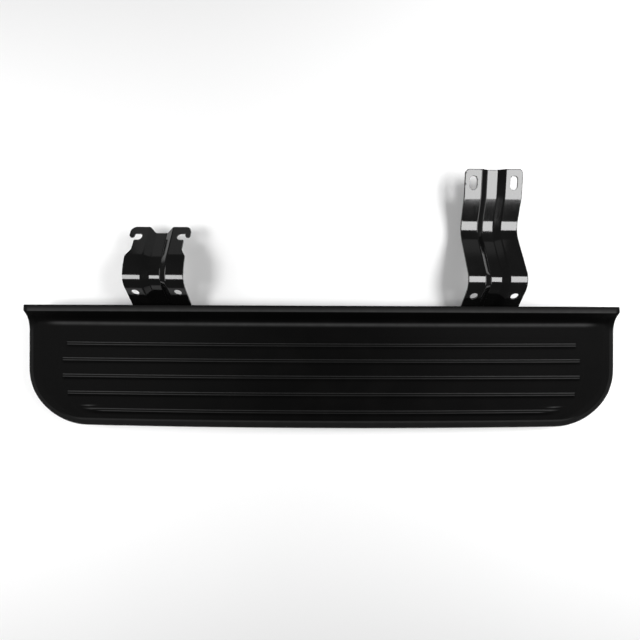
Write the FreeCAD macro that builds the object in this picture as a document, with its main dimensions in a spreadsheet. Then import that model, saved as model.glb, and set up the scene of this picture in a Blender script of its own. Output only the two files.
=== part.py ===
"""Running-board step: a moulded tread shell on a welded steel frame, hung from two pressed steel brackets.

Millimetres. X runs along the step, +Y points at the vehicle, +Z is up out of the tread.
The origin is at mid-length on the tread's flat surface, under its middle grip rib.
"""

import FreeCAD
import Part
import math
import os

import Sketcher

Vector = FreeCAD.Vector

# Driving dimensions, in millimetres. Each one is a cell of the spreadsheet.
SIZES = {
    # tread shell
    "step_length": 1071.0,
    "tread_front": 95.0,  # from the origin forward to the outermost front edge
    "corner_round": 108.0,  # front corners in plan
    "shell_wall": 3.0,
    "skirt_depth": 40.0,  # tread surface down to the skirt's lower edge
    "skirt_rear": 116.0,
    "rim_height": 1.5,  # rolled rim over the tread surface
    "rim_width": 15.5,
    "rim_roll": 12.0,
    "wall_foot": 98.5,  # where the raised rear wall leaves the tread
    "wall_foot_round": 12.0,
    "wall_overlap": 36.0,  # how far the rear wall's sheet runs back into the tread
    "lip_front": 119.0,
    "lip_rear": 129.5,
    "lip_height": 17.0,
    "lip_drop": 8.0,
    "lip_end_inset": 4.5,  # how far each lip end stops short of the step's end
    "horn_start": 82.0,  # where the side rim starts to climb to the lip
    "horn_round": 40.0,
    "edge_round": 1.4,
    # grip ribs on the tread
    "rib_first": 58.7,
    "rib_pitch": 28.8,
    "rib_pitch_growth": 1.1,
    "rib_top": 4.2,
    "rib_height": 1.3,
    "rib_rear_run": 1.2,
    "rib_front_run": 5.0,
    "panel_end_inset": 65.0,  # from the step's end in to the ribbed panel's end
    "panel_end_round": 112.0,
    "panel_centre": 15.8,
    "front_rib_inset": 11.0,  # how much sooner each end of the front rib stops
    # moulded ribs and bosses under the tread
    "under_rib_depth": 8.0,
    "under_rib_thickness": 2.5,
    "under_rib_pitch": 100.0,
    "under_rib_past_rail": 20.0,
    "boss_radius": 5.0,
    "boss_floor": 0.8,
    # steel frame
    "tape_thickness": 1.0,
    "tape_margin": 1.0,  # brim left bare along each edge of the tape
    "rail_end_inset": 85.5,  # from the step's end in to the rail's end
    "front_rail_y": -40.0,
    "rear_rail_y": 60.0,
    "rail_height": 14.0,
    "rail_sheet": 2.0,
    "rail_bend": 1.2,
    "crown_half": 17.0,
    "brim_width": 15.0,
    "cross_member_inset": 30.0,  # from a rail end to the middle of an outer cross member
    "cross_member_half": 20.0,
    # pressed brackets
    "sheet": 3.0,
    "least_straight": 0.15,
    "foot_front": -63.0,
    "foot_corner": 8.0,
    "foot_bend": 18.0,
    "foot_bolt_half": 36.0,
    "foot_hole_radius": 4.5,
    "bead_floor_half": 9.5,
    "bead_run": 11.5,
    "bead_depth": 6.5,
    "bead_top_round": 8.0,
    "bead_floor_round": 5.0,
    "leg_hole_radius": 6.75,
    "hook_x": -290.6,
    "hook_side": 52.2,
    "hook_foot_side": 54.4,  # the foot is a little wider than the leg
    "hook_leg_foot": 108.6,
    "hook_ridge_y": 168.3,
    "hook_ridge_z": 43.1,
    "hook_ridge_bend": 28.0,
    "hook_crest_y": 204.0,  # a second, gentler bend behind the ridge
    "hook_crest_z": 38.8,
    "hook_crest_bend": 90.0,
    "hook_end_y": 275.0,
    "hook_end_z": -1.0,
    "hook_leg_hole_y": 151.0,
    "hook_leg_hole_half": 37.5,
    "hook_shoulder_foot": 215.0,
    "hook_shoulder_top": 227.0,
    "hook_shoulder_round": 7.0,
    "hook_neck": 44.2,
    "hook_slot_bottom": 245.7,
    "hook_slot_width": 13.5,
    "hook_slot_depth": 13.1,  # from the neck's side in to the bottom of the slot
    "hook_tip_in": 45.4,
    "hook_tip_out": 54.4,
    "hook_tip_end": 251.5,
    "hook_top": 272.0,
    "hook_top_round": 10.0,
    "hook_dip": 264.0,
    "hook_dip_half": 11.0,
    "hook_lobe_inner": 20.0,
    "slotted_x": 305.4,
    "slotted_side": 51.5,
    "slotted_foot_side": 53.0,
    "slotted_leg_foot": 103.0,
    "slotted_ridge_y": 170.0,
    "slotted_ridge_z": 43.4,
    "slotted_ridge_bend": 30.0,
    "slotted_valley_y": 268.3,
    "slotted_valley_z": -7.7,
    "slotted_valley_bend": 45.0,
    "slotted_plate_y": 325.0,  # where the end plate begins
    "slotted_plate_z": 12.7,
    "slotted_plate_bend": 30.0,
    "slotted_end_y": 374.5,
    "slotted_end_z": 18.7,
    "slotted_leg_hole_y": 147.0,
    "slotted_leg_hole_half": 36.0,
    "slot_y": 349.4,
    "slot_half_spacing": 36.0,
    "slot_radius": 6.5,
    "slot_length": 24.0,
    "plate_corner": 8.0,
    # fasteners
    "bolt_radius": 4.0,
    "bolt_head_flats": 13.0,
    "bolt_head_height": 5.3,
    "bolt_clearance": 0.1,
    "washer_radius": 8.0,
    "washer_thickness": 1.6,
    "spring_washer_radius": 7.2,
    "spring_washer_thickness": 2.0,
    "spring_washer_gap": 1.2,
    "nut_flats": 14.0,
    "nut_height": 6.5,
    "nut_stand_out": 1.5,
    "screw_radius": 1.9,
    "screw_hole_radius": 2.0,
    "screw_head_radius": 4.2,
    "screw_head_height": 2.4,
    "screw_bite": 5.5,
    "screw_inner_x": 140.0,
    "screw_outer_inset": 80.0,  # from a rail end to the outer screws
}

# Grip ribs along the tread.
GRIP_RIBS = 5

# How far a cutting tool runs past the piece it cuts.
PAST = 20.0

doc = FreeCAD.newDocument("RunningBoardStep")
sheet = doc.addObject("Spreadsheet::Sheet", "Sizes")
for row, (alias, number) in enumerate(SIZES.items(), 1):
    sheet.set(f"A{row}", alias)
    sheet.set(f"B{row}", str(number))
    sheet.setAlias(f"B{row}", alias)
doc.recompute()


def size(expression):
    """The number that an expression on the spreadsheet gives."""
    return float(sheet.evalExpression(expression))


def bind(item, path, expression):
    """Ties one property of an object to the spreadsheet."""
    item.setExpression(path, expression)


# Levels below the tread, each worked out from the pieces stacked above it.
RIB_BOTTOM = "-(Sizes.shell_wall + Sizes.under_rib_depth)"
RAIL_TOP = f"({RIB_BOTTOM} - Sizes.tape_thickness)"
FOOT_TOP = f"({RAIL_TOP} - Sizes.rail_height)"
FOOT_BOTTOM = f"({FOOT_TOP} - Sizes.sheet)"

# The offset of a bead corner from the sheet's upper to its lower side.
BEAD_SHIFT = (
    "Sizes.sheet * (sqrt(Sizes.bead_run^2 + Sizes.bead_depth^2) - Sizes.bead_run) / Sizes.bead_depth"
)


def new_body(label):
    body = doc.addObject("PartDesign::Body", label)
    body.Label = label
    return body


def new_sketch(body, name, role, height=None):
    """A sketch on one of the body's origin planes, lifted along the plane's normal by height."""
    sketch = body.newObject("Sketcher::SketchObject", name)
    plane = next(item for item in body.Origin.OriginFeatures if item.Role == role)
    sketch.AttachmentSupport = (plane, [""])
    sketch.MapMode = "FlatFace"
    if height:
        bind(sketch, "AttachmentOffset.Base.z", height)
    return sketch


def hold_point(sketch, line, end, across, up):
    """Fixes one end of a line at a place given by two expressions."""
    for kind, expression in (("DistanceX", across), ("DistanceY", up)):
        rule = Sketcher.Constraint(kind, -1, 1, line, end, size(expression))
        index = sketch.addConstraint(rule)
        bind(sketch, f"Constraints[{index}]", expression)


def draw_outline(sketch, corners, closed=True):
    """Straight lines from corner to corner; a corner with a third expression is rounded to that radius."""
    places = [Vector(size(corner[0]), size(corner[1]), 0) for corner in corners]
    ends = places[1:] + places[:1] if closed else places[1:]
    lines = [sketch.addGeometry(Part.LineSegment(start, end)) for start, end in zip(places, ends)]
    meets = [(i, i + 1) for i in range(len(lines) - 1)]
    if closed:
        meets.append((len(lines) - 1, 0))
    for before, after in meets:
        rule = Sketcher.Constraint("Coincident", lines[before], 2, lines[after], 1)
        sketch.addConstraint(rule)
    for line, corner in zip(lines, corners):
        hold_point(sketch, line, 1, corner[0], corner[1])
    if not closed:
        hold_point(sketch, lines[-1], 2, corners[-1][0], corners[-1][1])
    for before, after in meets:
        corner = corners[after]
        if len(corner) < 3:
            continue
        radius = size(corner[2])
        place = places[after]
        back = (places[before] - place).normalize()
        ahead = (ends[after] - place).normalize()
        sketch.fillet(lines[before], lines[after], place + back, place + ahead, radius, True, True)
        arc = max(i for i, item in enumerate(sketch.Geometry) if isinstance(item, Part.ArcOfCircle))
        index = sketch.addConstraint(Sketcher.Constraint("Radius", arc, radius))
        bind(sketch, f"Constraints[{index}]", corner[2])


def draw_circles(sketch, centres, radius):
    """Circles of one radius at places given by pairs of expressions."""
    for across, up in centres:
        centre = Vector(size(across), size(up), 0)
        circle = sketch.addGeometry(Part.Circle(centre, Vector(0, 0, 1), size(radius)))
        hold_point(sketch, circle, 3, across, up)
        index = sketch.addConstraint(Sketcher.Constraint("Radius", circle, size(radius)))
        bind(sketch, f"Constraints[{index}]", radius)


def mirrored_corners(corners):
    """The corners of one half and then their mirror images, so that the outline closes over the middle."""
    other = [(f"-({corner[0]})", *corner[1:]) for corner in reversed(corners)]
    return corners + other


def extrude(body, kind, sketch, length, symmetric=False, backwards=False):
    """A Pad or Pocket of a sketch. A cut that leaves the volume as it was stops the build."""
    before = body.Shape.Volume if body.Tip else 0.0
    feature = body.newObject(f"PartDesign::{kind}", f"{kind}_{sketch.Name}")
    feature.Profile = sketch
    feature.Midplane = symmetric
    feature.Reversed = backwards
    bind(feature, "Length", length)
    doc.recompute()
    change = body.Shape.Volume - before
    if abs(change) < 1.0 or (change > 0) != (kind == "Pad"):
        raise RuntimeError(f"{feature.Label} changed the volume by {change:.1f}")
    return feature


def round_edges(body, base, edges, radius):
    fillet = body.newObject("PartDesign::Fillet", f"Fillet_{base.Name}")
    fillet.Base = (base, edges)
    bind(fillet, "Radius", radius)
    doc.recompute()
    return fillet


def edges_where(shape, test):
    return [f"Edge{i}" for i, edge in enumerate(shape.Edges, 1) if test(edge)]


def level_edge(edge, height):
    """Whether an edge lies flat at one height."""
    box = edge.BoundBox
    return abs(box.ZMin - height) < 0.01 and abs(box.ZMax - height) < 0.01


# ---------------------------------------------------------------- tread shell
HALF_STEP = "(Sizes.step_length / 2)"
LIP_HALF = f"({HALF_STEP} - Sizes.lip_end_inset)"
HORN_WALL = "(2 * Sizes.shell_wall)"
RAIL_HALF = f"({HALF_STEP} - Sizes.rail_end_inset)"
SCREW_COLUMNS = [
    f"{sign}{column}"
    for column in ("Sizes.screw_inner_x", f"({RAIL_HALF} - Sizes.screw_outer_inset)")
    for sign in ("", "-")
]
BRIM_MIDDLE = "(Sizes.crown_half + Sizes.brim_width / 2)"
BRIM_ROWS = [
    f"(Sizes.{rail}_rail_y {sign} {BRIM_MIDDLE})" for rail in ("front", "rear") for sign in ("-", "+")
]


def plan_outline(inset, rear):
    """The step in plan, moved in by inset and cut off straight at rear."""
    side = f"{HALF_STEP} - {inset}"
    front = f"-(Sizes.tread_front - {inset})"
    return mirrored_corners([(side, rear), (side, front, f"Sizes.corner_round - {inset}")])


def make_step_shell():
    """One moulding: tread, grip ribs, rolled rim, skirt, raised rear wall and lip, ribs and bosses below."""
    body = new_body("step_shell")

    block = new_sketch(body, "TreadBlock", "XY_Plane", "-Sizes.skirt_depth")
    draw_outline(block, plan_outline("0", "Sizes.skirt_rear"))
    base = extrude(body, "Pad", block, "Sizes.skirt_depth + Sizes.rim_height")
    rear = size("Sizes.skirt_rear")
    rolled = edges_where(
        base.Shape,
        lambda edge: level_edge(edge, size("Sizes.rim_height")) and edge.BoundBox.YMin < rear - 1,
    )
    round_edges(body, base, rolled, "Sizes.rim_roll")

    recess = new_sketch(body, "TreadRecess", "XY_Plane")
    draw_outline(recess, plan_outline("Sizes.rim_width", f"Sizes.skirt_rear + {PAST}"))
    extrude(body, "Pocket", recess, "Sizes.rim_height", backwards=True)

    hollow = new_sketch(body, "Hollow", "XY_Plane", "-Sizes.skirt_depth")
    draw_outline(hollow, plan_outline("Sizes.shell_wall", f"Sizes.skirt_rear + {PAST}"))
    cut = extrude(body, "Pocket", hollow, "Sizes.skirt_depth - Sizes.shell_wall", backwards=True)
    ceiling = size("-Sizes.shell_wall")
    inner = edges_where(
        cut.Shape,
        lambda edge: level_edge(edge, ceiling) and edge.BoundBox.YMin < rear - 1,
    )
    round_edges(body, cut, inner, "Sizes.rim_roll - Sizes.shell_wall")

    # The sheet of the rear wall leaves the tread at its foot and ends in a lip with a drop flange.
    # Its underside is the same line moved down its normal by the wall.
    wall_run = "(Sizes.lip_front - Sizes.wall_foot)"
    slant = f"sqrt({wall_run}^2 + Sizes.lip_height^2)"
    shift = f"Sizes.shell_wall * ({slant} - {wall_run}) / Sizes.lip_height"
    under_lip = "Sizes.lip_height - Sizes.shell_wall"
    tread_end = "Sizes.wall_foot - Sizes.wall_overlap"
    foot_under = f"Sizes.wall_foot + {shift}"
    front_under = f"Sizes.lip_front + {shift}"
    rear_inside = "Sizes.lip_rear - Sizes.shell_wall"
    drop_end = "Sizes.lip_height - Sizes.lip_drop"
    wall = new_sketch(body, "RearWall", "YZ_Plane")
    draw_outline(
        wall,
        [
            (tread_end, "0"),
            ("Sizes.wall_foot", "0", "Sizes.wall_foot_round"),
            ("Sizes.lip_front", "Sizes.lip_height", "Sizes.edge_round"),
            ("Sizes.lip_rear", "Sizes.lip_height", "Sizes.edge_round"),
            ("Sizes.lip_rear", drop_end),
            (rear_inside, drop_end),
            (rear_inside, under_lip),
            (front_under, under_lip),
            (foot_under, "-Sizes.shell_wall", "Sizes.wall_foot_round + Sizes.shell_wall"),
            (tread_end, "-Sizes.shell_wall"),
        ],
    )
    extrude(body, "Pad", wall, f"2 * {LIP_HALF}", symmetric=True)

    # Behind the wall the tread's flat is cleared away between the side skirts.
    gap = new_sketch(body, "BehindWall", "YZ_Plane")
    draw_outline(
        gap,
        [
            (tread_end, "-Sizes.shell_wall"),
            (foot_under, "-Sizes.shell_wall", "Sizes.wall_foot_round + Sizes.shell_wall"),
            (front_under, under_lip),
            (rear_inside, under_lip),
            (rear_inside, "-Sizes.skirt_depth"),
            (tread_end, "-Sizes.skirt_depth"),
        ],
    )
    extrude(body, "Pocket", gap, f"2 * ({LIP_HALF} - {HORN_WALL})", symmetric=True)

    # At each end the side rim climbs to the lip.
    for end, sign in (("Left", "-"), ("Right", "")):
        horn = new_sketch(body, f"{end}Horn", "YZ_Plane", f"{sign}{LIP_HALF}")
        draw_outline(
            horn,
            [
                ("Sizes.horn_start", "-Sizes.shell_wall"),
                ("Sizes.horn_start", "0"),
                ("Sizes.wall_foot", "Sizes.rim_height", "Sizes.horn_round"),
                ("Sizes.lip_front", "Sizes.lip_height", "Sizes.edge_round"),
                ("Sizes.lip_rear", "Sizes.lip_height", "Sizes.edge_round"),
                ("Sizes.lip_rear", drop_end),
                ("Sizes.skirt_rear", "-Sizes.rim_roll"),
            ],
        )
        extrude(body, "Pad", horn, HORN_WALL, backwards=end == "Right")

    make_grip_ribs(body)
    make_under_ribs(body)
    return body


def make_grip_ribs(body):
    """Five ribs along the tread. The panel's bowed ends set the length of each."""
    for number in range(GRIP_RIBS):
        place = (
            f"(Sizes.rib_first - {number} * Sizes.rib_pitch"
            f" - {number * (number - 1) // 2} * Sizes.rib_pitch_growth)"
        )
        half_top = "Sizes.rib_top / 2"
        rib = new_sketch(body, f"GripRib{number + 1}", "YZ_Plane")
        draw_outline(
            rib,
            [
                (f"{place} + {half_top} + Sizes.rib_rear_run", "-Sizes.shell_wall / 2"),
                (f"{place} + {half_top} + Sizes.rib_rear_run", "0"),
                (f"{place} + {half_top}", "Sizes.rib_height"),
                (f"{place} - {half_top}", "Sizes.rib_height"),
                (f"{place} - {half_top} - Sizes.rib_front_run", "0"),
                (f"{place} - {half_top} - Sizes.rib_front_run", "-Sizes.shell_wall / 2"),
            ],
        )
        bow = f"sqrt(Sizes.panel_end_round^2 - ({place} - Sizes.panel_centre)^2)"
        half_length = f"{HALF_STEP} - Sizes.panel_end_inset - Sizes.panel_end_round + {bow}"
        if number == GRIP_RIBS - 1:
            half_length = f"{half_length} - Sizes.front_rib_inset"
        extrude(body, "Pad", rib, f"2 * ({half_length})", symmetric=True)


def make_under_ribs(body):
    """A grid of thin ribs under the tread, with a screw boss wherever a rail is screwed up to it."""
    half = "Sizes.under_rib_thickness / 2"
    length = f"({RAIL_HALF} + Sizes.under_rib_past_rail)"
    depth = "Sizes.under_rib_depth + Sizes.shell_wall / 2"
    for number, row_place in enumerate(BRIM_ROWS, 1):
        lengthwise = new_sketch(body, f"LongRib{number}", "XY_Plane", RIB_BOTTOM)
        draw_outline(
            lengthwise,
            [
                (f"-({length})", f"{row_place} - {half}"),
                (length, f"{row_place} - {half}"),
                (length, f"{row_place} + {half}"),
                (f"-({length})", f"{row_place} + {half}"),
            ],
        )
        extrude(body, "Pad", lengthwise, depth)
    pitches = int(size(f"2 * {RAIL_HALF} / Sizes.under_rib_pitch"))
    for number in range(pitches + 1):
        middle = f"{number - pitches / 2} * Sizes.under_rib_pitch"
        crosswise = new_sketch(body, f"CrossRib{number + 1}", "XY_Plane", RIB_BOTTOM)
        front = "-(Sizes.tread_front - Sizes.rim_roll)"
        draw_outline(
            crosswise,
            [
                (f"{middle} - {half}", front),
                (f"{middle} + {half}", front),
                (f"{middle} + {half}", "Sizes.wall_foot - Sizes.under_rib_thickness"),
                (f"{middle} - {half}", "Sizes.wall_foot - Sizes.under_rib_thickness"),
            ],
        )
        extrude(body, "Pad", crosswise, depth)
    centres = [(column, row_place) for column in SCREW_COLUMNS for row_place in BRIM_ROWS]
    bosses = new_sketch(body, "Bosses", "XY_Plane", RIB_BOTTOM)
    draw_circles(bosses, centres, "Sizes.boss_radius")
    extrude(body, "Pad", bosses, depth)
    holes = new_sketch(body, "BossHoles", "XY_Plane", RIB_BOTTOM)
    draw_circles(holes, centres, "Sizes.screw_hole_radius")
    extrude(body, "Pocket", holes, "Sizes.under_rib_depth - Sizes.boss_floor", backwards=True)


# ---------------------------------------------------------------- steel frame
BOLT_ROWS = {"front": "Sizes.front_rail_y", "rear": "Sizes.rear_rail_y"}
BOLT_COLUMNS = {
    bracket: [f"(Sizes.{bracket}_x {sign} Sizes.foot_bolt_half)" for sign in ("-", "+")]
    for bracket in ("hook", "slotted")
}


def make_rail(end):
    """A rolled hat section, open side up: the crown carries the brackets, the brims meet the tread shell."""
    body = new_body(f"{end}_rail")
    crown, brim, thick = "Sizes.crown_half", "Sizes.brim_width", "Sizes.rail_sheet"
    inner_bend = "Sizes.rail_bend"
    outer_bend = f"Sizes.rail_bend + {thick}"
    section = new_sketch(body, "HatSection", "YZ_Plane")
    draw_outline(
        section,
        mirrored_corners(
            [
                (f"{crown} - {thick}", f"-(Sizes.rail_height - {thick})", inner_bend),
                (f"{crown} - {thick}", "0", outer_bend),
                (f"{crown} + {brim}", "0"),
                (f"{crown} + {brim}", f"-{thick}"),
                (crown, f"-{thick}", inner_bend),
                (crown, "-Sizes.rail_height", outer_bend),
            ]
        ),
    )
    extrude(body, "Pad", section, f"2 * {RAIL_HALF}", symmetric=True)

    brim_holes = new_sketch(body, "BrimHoles", "XY_Plane", f"-{thick} - {PAST}")
    centres = [(column, f"{sign}{BRIM_MIDDLE}") for column in SCREW_COLUMNS for sign in ("", "-")]
    draw_circles(brim_holes, centres, "Sizes.screw_hole_radius + Sizes.bolt_clearance")
    extrude(body, "Pocket", brim_holes, f"{thick} + 2 * {PAST}", backwards=True)

    crown_holes = new_sketch(body, "CrownHoles", "XY_Plane", f"-Sizes.rail_height - {PAST}")
    places = [(column, "0") for columns in BOLT_COLUMNS.values() for column in columns]
    draw_circles(crown_holes, places, "Sizes.foot_hole_radius")
    extrude(body, "Pocket", crown_holes, f"Sizes.rail_height + {PAST}", backwards=True)
    bind(body, "Placement.Base.y", BOLT_ROWS[end])
    bind(body, "Placement.Base.z", RAIL_TOP)
    return body


def make_cross_member(name, place):
    """A short channel, open side up, welded between the two rails below the bends of their brims."""
    body = new_body(f"{name}_cross_member")
    half, thick = "Sizes.cross_member_half", "Sizes.rail_sheet"
    section = new_sketch(body, "ChannelSection", "XZ_Plane")
    draw_outline(
        section,
        mirrored_corners(
            [
                (f"{half} - {thick}", f"-(Sizes.rail_height - {thick})", "Sizes.rail_bend"),
                (f"{half} - {thick}", f"-({thick} + Sizes.rail_bend)"),
                (half, f"-({thick} + Sizes.rail_bend)"),
                (half, "-Sizes.rail_height", f"Sizes.rail_bend + {thick}"),
            ]
        ),
    )
    extrude(
        body,
        "Pad",
        section,
        "Sizes.rear_rail_y - Sizes.front_rail_y - 2 * Sizes.crown_half",
        symmetric=True,
    )
    bind(body, "Placement.Base.x", place)
    bind(body, "Placement.Base.y", "(Sizes.rear_rail_y + Sizes.front_rail_y) / 2")
    bind(body, "Placement.Base.z", RAIL_TOP)
    return body


# ---------------------------------------------------------------- pressed brackets
def draw_slot(sketch, across, up, half_run, radius):
    """An obround whose two end arcs are centred half_run before and after its middle."""
    arcs = []
    for sign in ("+", "-"):
        centre = Vector(size(across), size(f"{up} {sign} {half_run}"), 0)
        start = 0.0 if sign == "+" else math.pi
        circle = Part.Circle(centre, Vector(0, 0, 1), size(radius))
        arc = sketch.addGeometry(Part.ArcOfCircle(circle, start, start + math.pi))
        hold_point(sketch, arc, 3, across, f"{up} {sign} {half_run}")
        index = sketch.addConstraint(Sketcher.Constraint("Radius", arc, size(radius)))
        bind(sketch, f"Constraints[{index}]", radius)
        arcs.append(arc)
    for first, second in (arcs, arcs[::-1]):
        start = sketch.getPoint(first, 2)
        end = sketch.getPoint(second, 1)
        side = sketch.addGeometry(Part.LineSegment(start, end))
        sketch.addConstraint(Sketcher.Constraint("Tangent", first, 2, side, 1))
        sketch.addConstraint(Sketcher.Constraint("Tangent", side, 2, second, 1))


def tilted_sketch(body, name, start_y, start_z, rise, run, place):
    """A sketch on the incline that climbs by rise over run from a start, centred at one place along Y."""
    height = f"{start_z} + ({place} - {start_y}) * {rise} / {run}"
    sketch = new_sketch(body, name, "XY_Plane", height)
    bind(sketch, "AttachmentOffset.Base.y", place)
    sketch.AttachmentOffset = FreeCAD.Placement(
        sketch.AttachmentOffset.Base, FreeCAD.Rotation(Vector(1, 0, 0), 45)
    )
    bind(sketch, "AttachmentOffset.Rotation.Angle", f"atan({rise} / {run})")
    return sketch


def make_bracket(name, half_width, line, outline):
    """A strip of sheet with a sunk stiffening bead, bent along a line and trimmed to its outline in plan."""
    body = new_body(f"{name}_bracket")
    path = new_sketch(body, "BendLine", "YZ_Plane")
    start = [("Sizes.foot_front", FOOT_TOP), (f"Sizes.{name}_leg_foot", FOOT_TOP, "Sizes.foot_bend")]
    draw_outline(path, start + line, closed=False)

    section = new_sketch(body, "BeadSection", "XZ_Plane", "-Sizes.foot_front")
    top_half = "Sizes.bead_floor_half + Sizes.bead_run"
    floor = f"{FOOT_TOP} - Sizes.bead_depth"
    draw_outline(
        section,
        mirrored_corners(
            [
                ("Sizes.bead_floor_half", floor, "Sizes.bead_floor_round"),
                (top_half, FOOT_TOP, "Sizes.bead_top_round"),
                (half_width, FOOT_TOP),
                (half_width, FOOT_BOTTOM),
                (f"{top_half} + {BEAD_SHIFT}", FOOT_BOTTOM, "Sizes.bead_top_round - Sizes.sheet"),
                (
                    f"Sizes.bead_floor_half + {BEAD_SHIFT}",
                    f"{floor} - Sizes.sheet",
                    "Sizes.bead_floor_round + Sizes.sheet",
                ),
            ]
        ),
    )
    strip = body.newObject("PartDesign::AdditivePipe", "Strip")
    strip.Profile = section
    strip.Spine = (path, [f"Edge{i}" for i in range(1, len(path.Shape.Edges) + 1)])
    doc.recompute()

    reach = f"2 * (Sizes.{name}_ridge_z + Sizes.skirt_depth)"
    blank = new_sketch(body, "BlankOutline", "XY_Plane")
    rear = f"{outline[-1][1]} + {PAST} + Sizes.{name}_side"
    front = f"Sizes.foot_front - {PAST}"
    side = f"{half_width} + {PAST}"
    draw_outline(blank, mirrored_corners([(side, front), (side, rear)]))
    draw_outline(blank, mirrored_corners(outline))
    extrude(body, "Pocket", blank, reach, symmetric=True)

    foot_holes = new_sketch(body, "FootHoles", "XY_Plane", FOOT_TOP)
    places = [(f"{sign}Sizes.foot_bolt_half", row) for sign in ("-", "") for row in BOLT_ROWS.values()]
    draw_circles(foot_holes, places, "Sizes.foot_hole_radius")
    extrude(body, "Pocket", foot_holes, "2 * Sizes.sheet", symmetric=True)

    rise = f"(Sizes.{name}_ridge_z - {FOOT_TOP})"
    run = f"(Sizes.{name}_ridge_y - Sizes.{name}_leg_foot)"
    leg_holes = tilted_sketch(
        body, "LegHoles", f"Sizes.{name}_leg_foot", FOOT_TOP, rise, run, f"Sizes.{name}_leg_hole_y"
    )
    draw_circles(
        leg_holes,
        [(f"{sign}Sizes.{name}_leg_hole_half", "0") for sign in ("-", "")],
        "Sizes.leg_hole_radius",
    )
    extrude(body, "Pocket", leg_holes, "4 * Sizes.sheet", symmetric=True)
    bind(body, "Placement.Base.x", f"Sizes.{name}_x")
    return body


def bends(name, *places):
    """The corners of a bracket's bend line, each with the radius of the sheet's upper side there."""
    return [tuple(f"Sizes.{name}_{place}_{part}" for part in ("y", "z", "bend")) for place in places]


def make_hook_bracket():
    """The bracket that ends in two hooks, open to the sides, with a shallow dip between them."""
    # Two rounds that would meet keep a short straight between them: a line can't have no length.
    tip_round = "((Sizes.hook_tip_out - Sizes.hook_tip_in) / 2 - Sizes.least_straight)"
    slot_round = "(Sizes.hook_slot_width / 2 - Sizes.least_straight)"
    slot_end = "Sizes.hook_neck - Sizes.hook_slot_depth"
    slot_top = "Sizes.hook_slot_bottom + Sizes.hook_slot_width"
    outline = [
        ("Sizes.hook_foot_side", "Sizes.foot_front", "Sizes.foot_corner"),
        ("Sizes.hook_foot_side", "Sizes.hook_leg_foot"),
        ("Sizes.hook_side", "Sizes.hook_leg_hole_y"),
        ("Sizes.hook_side", "Sizes.hook_shoulder_foot", "Sizes.hook_shoulder_round"),
        ("Sizes.hook_neck", "Sizes.hook_shoulder_top", "Sizes.hook_shoulder_round"),
        ("Sizes.hook_neck", "Sizes.hook_slot_bottom", "Sizes.edge_round"),
        (slot_end, "Sizes.hook_slot_bottom", slot_round),
        (slot_end, slot_top, slot_round),
        ("Sizes.hook_tip_in", slot_top, "Sizes.edge_round"),
        ("Sizes.hook_tip_in", "Sizes.hook_tip_end", tip_round),
        ("Sizes.hook_tip_out", "Sizes.hook_tip_end", tip_round),
        ("Sizes.hook_tip_out", "Sizes.hook_top", "Sizes.hook_top_round"),
        ("Sizes.hook_lobe_inner", "Sizes.hook_top", "Sizes.hook_top_round / 2"),
        ("Sizes.hook_dip_half", "Sizes.hook_dip", "Sizes.hook_top_round / 2"),
    ]
    line = bends("hook", "ridge", "crest")
    line.append(("Sizes.hook_end_y", "Sizes.hook_end_z"))
    return make_bracket("hook", "max(Sizes.hook_foot_side; Sizes.hook_tip_out)", line, outline)


def make_slotted_bracket():
    """The bracket that dips behind its ridge and ends in a slightly tilted plate with two slots."""
    outline = [
        ("Sizes.slotted_foot_side", "Sizes.foot_front", "Sizes.foot_corner"),
        ("Sizes.slotted_foot_side", "Sizes.slotted_leg_foot"),
        ("Sizes.slotted_side", "Sizes.slotted_leg_hole_y"),
        ("Sizes.slotted_side", "Sizes.slotted_end_y", "Sizes.plate_corner"),
    ]
    line = bends("slotted", "ridge", "valley", "plate")
    line.append(("Sizes.slotted_end_y", "Sizes.slotted_end_z"))
    body = make_bracket("slotted", "Sizes.slotted_foot_side", line, outline)
    rise = "(Sizes.slotted_end_z - Sizes.slotted_plate_z)"
    run = "(Sizes.slotted_end_y - Sizes.slotted_plate_y)"
    slots = tilted_sketch(
        body, "Slots", "Sizes.slotted_plate_y", "Sizes.slotted_plate_z", rise, run, "Sizes.slot_y"
    )
    half_run = "(Sizes.slot_length / 2 - Sizes.slot_radius)"
    for sign in ("-", ""):
        draw_slot(slots, f"{sign}Sizes.slot_half_spacing", "0", half_run, "Sizes.slot_radius")
    extrude(body, "Pocket", slots, "4 * Sizes.sheet", symmetric=True)
    return body


# ---------------------------------------------------------------- fasteners
def solid(kind, name, low=None, **sizes):
    """A Part primitive standing on the level low, with its sizes bound to the spreadsheet."""
    item = doc.addObject(f"Part::{kind}", name)
    for prop, expression in sizes.items():
        bind(item, prop, expression)
    if low:
        bind(item, "Placement.Base.z", low)
    return item


def joined(name, *items):
    fuse = doc.addObject("Part::MultiFuse", name)
    fuse.Shapes = list(items)
    return fuse


def cut_away(name, item, tool):
    cut = doc.addObject("Part::Cut", name)
    cut.Base = item
    cut.Tool = tool
    return cut


def copies(label, pattern, places):
    """One node: a separate solid like the pattern at each place, given as two expressions."""
    doc.recompute()
    moved = [pattern.Shape.translated(Vector(size(across), size(along), 0)) for across, along in places]
    group = doc.addObject("Part::Feature", label)
    group.Label = label
    group.Shape = Part.makeCompound([item.Solids[0] for item in moved])
    return group


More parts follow.
